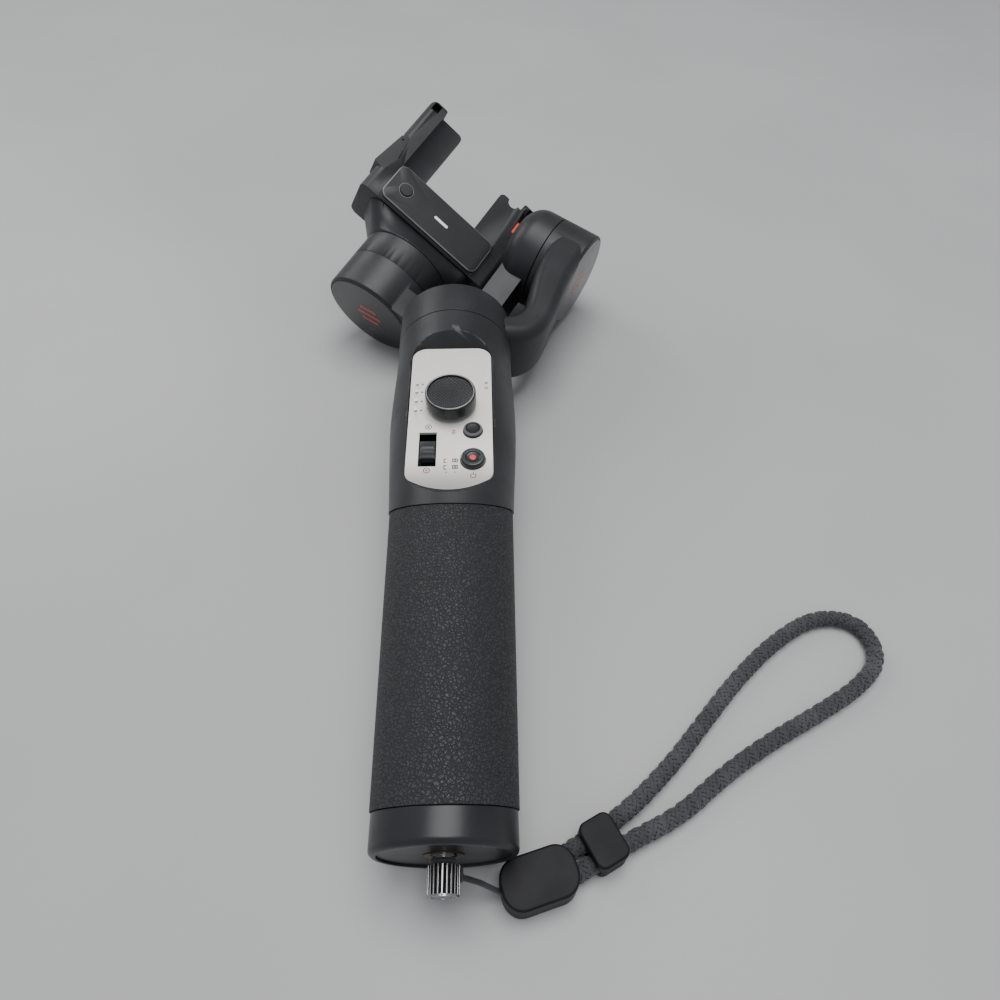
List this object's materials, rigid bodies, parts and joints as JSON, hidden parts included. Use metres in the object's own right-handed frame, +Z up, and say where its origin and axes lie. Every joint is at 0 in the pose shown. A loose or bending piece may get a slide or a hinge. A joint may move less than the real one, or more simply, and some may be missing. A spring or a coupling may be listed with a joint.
{
  "type": "camera gimbal",
  "caption": "Handheld three-axis camera stabiliser lying on its back: leather-grained handle with a control panel, three motors, an open camera clamp and a braided wrist strap.",
  "frame": {"origin": "middle of the lying object's footprint on the table, wrist strap left out", "axes": "+Z up off the table, +Y along the handle from its base end towards the head, +X to the right seen from the base end"},
  "size_m": [0.1916, 0.3196, 0.0767],
  "materials": {
    "black_housing": "satin moulded",
    "grip_leather": "pebbled grain",
    "silver_panel": "satin brushed",
    "dark_key": "satin",
    "gloss_cap": "gloss",
    "orange": "bright moulded",
    "soft_rubber": "matt",
    "steel": "machined",
    "copper": "enamelled wire",
    "brass_insert": "turned",
    "circuit_board": "solder mask",
    "battery_wrap": "shrink wrap",
    "lamp": "clear diffuser",
    "strap_braid": "braided polyester"
  },
  "bodies": {
    "handle": {"base_ring": "black_housing", "end_disc": "black_housing", "tripod_socket": "brass_insert", "handle_tube": "black_housing", "grip_sleeve": "grip_leather", "battery": "battery_wrap", "battery_holder": "black_housing", "front_shell": "black_housing", "rear_shell": "black_housing", "panel_plate": "silver_panel", "key_board": "circuit_board", "main_board": "circuit_board", "usb_port": "steel", "shell_screws": "steel", "indicator_lights": "lamp", "joystick_base": "black_housing", "pan_stator": "steel", "pan_windings": "copper", "pan_bearing": "steel", "motor_plate": "black_housing", "strap_screw": "steel", "strap_cord": "strap_braid", "strap_string": "strap_braid", "strap_block": "black_housing", "strap_adjuster": "black_housing"},
    "joystick_gimbal": {"joystick_ring": "black_housing"},
    "joystick_stick": {"joystick": "dark_key"},
    "mode_button": {"mode_key": "dark_key"},
    "record_button": {"record_key": "dark_key"},
    "zoom_knob": {"zoom_slider": "black_housing"},
    "trigger_lever": {"trigger": "black_housing"},
    "port_cover": {"usb_cover": "soft_rubber"},
    "function_button": {"function_key": "dark_key"},
    "latch_slider": {"latch": "orange"},
    "lever": {"release_lever": "black_housing"},
    "pan_link": {"pan_ring": "black_housing", "pan_shaft": "steel", "pan_magnets": "steel", "pan_arm": "black_housing", "roll_cap": "gloss_cap", "roll_stator": "steel", "roll_windings": "copper", "roll_bearing": "steel"},
    "roll_link": {"roll_neck": "black_housing", "roll_shaft": "steel", "roll_magnets": "steel", "roll_arm": "black_housing", "tilt_cap": "gloss_cap", "tilt_stator": "steel", "tilt_windings": "copper", "tilt_bearing": "steel"},
    "clamp": {"tilt_neck": "black_housing", "tilt_shaft": "steel", "tilt_magnets": "steel", "clamp_body": "black_housing", "clamp_plate": "black_housing", "clamp_light": "lamp", "clamp_board": "circuit_board", "clamp_pads": "soft_rubber", "lever_pin": "steel"}
  },
  "joints": [
    {"name": "pan", "type": "hinge", "parent": "handle", "child": "pan_link", "pos_m": [-0.00443, 0.03728, 0.03213], "axis": [0, 0.9973, 0.0732], "range_deg": [-172, 148]},
    {"name": "roll", "type": "hinge", "parent": "pan_link", "child": "roll_link", "pos_m": [0.03526, 0.09363, 0.02737], "axis": [0.8391, -0.4954, -0.2245], "range_deg": [-90, 230]},
    {"name": "tilt", "type": "hinge", "parent": "roll_link", "child": "clamp", "pos_m": [-0.03414, 0.08067, 0.02462], "axis": [-0.543, -0.7871, -0.2926], "range_deg": [-100, 145]},
    {"name": "joystick_along", "type": "hinge", "parent": "handle", "child": "joystick_gimbal", "pos_m": [-0.00423, -0.0187, 0.03945], "axis": [1, 0, 0], "range_deg": [-7, 7], "stiffness_Nm_per_rad": 0.02},
    {"name": "joystick_across", "type": "hinge", "parent": "joystick_gimbal", "child": "joystick_stick", "pos_m": [-0.00423, -0.0187, 0.03945], "axis": [0, 0.9973, 0.0732], "range_deg": [-7, 7], "stiffness_Nm_per_rad": 0.02},
    {"name": "mode_press", "type": "slide", "parent": "handle", "child": "mode_button", "axis": [0, 0.0732, -0.9973], "range_m": [0, 0.0005], "stiffness_N_per_m": 600},
    {"name": "record_press", "type": "slide", "parent": "handle", "child": "record_button", "axis": [0, 0.0732, -0.9973], "range_m": [0, 0.0005], "stiffness_N_per_m": 600},
    {"name": "zoom_slide", "type": "slide", "parent": "handle", "child": "zoom_knob", "axis": [0, 0.9973, 0.0732], "range_m": [-0.0028, 0.0028], "stiffness_N_per_m": 250},
    {"name": "trigger_pull", "type": "hinge", "parent": "handle", "child": "trigger_lever", "pos_m": [-0.00443, -0.00768, 0.00817], "axis": [-1, 0, 0], "range_deg": [0, 5], "stiffness_Nm_per_rad": 0.4},
    {"name": "usb_cover_open", "type": "hinge", "parent": "handle", "child": "port_cover", "pos_m": [0.01427, -0.00985, 0.01854], "axis": [0, 0.9973, 0.0732], "range_deg": [0, 90]},
    {"name": "function_press", "type": "slide", "parent": "clamp", "child": "function_button", "axis": [-0.3808, 0.5413, -0.7497], "range_m": [0, 0.0004], "stiffness_N_per_m": 600},
    {"name": "latch_slide", "type": "slide", "parent": "clamp", "child": "latch_slider", "axis": [0.543, 0.7871, 0.2926], "range_m": [0, 0.0024]},
    {"name": "lever_open", "type": "hinge", "parent": "clamp", "child": "lever", "pos_m": [-0.03116, 0.13228, 0.06037], "axis": [-0.3808, 0.5413, -0.7497], "range_deg": [0, 12], "stiffness_Nm_per_rad": 0.3}
  ]
}
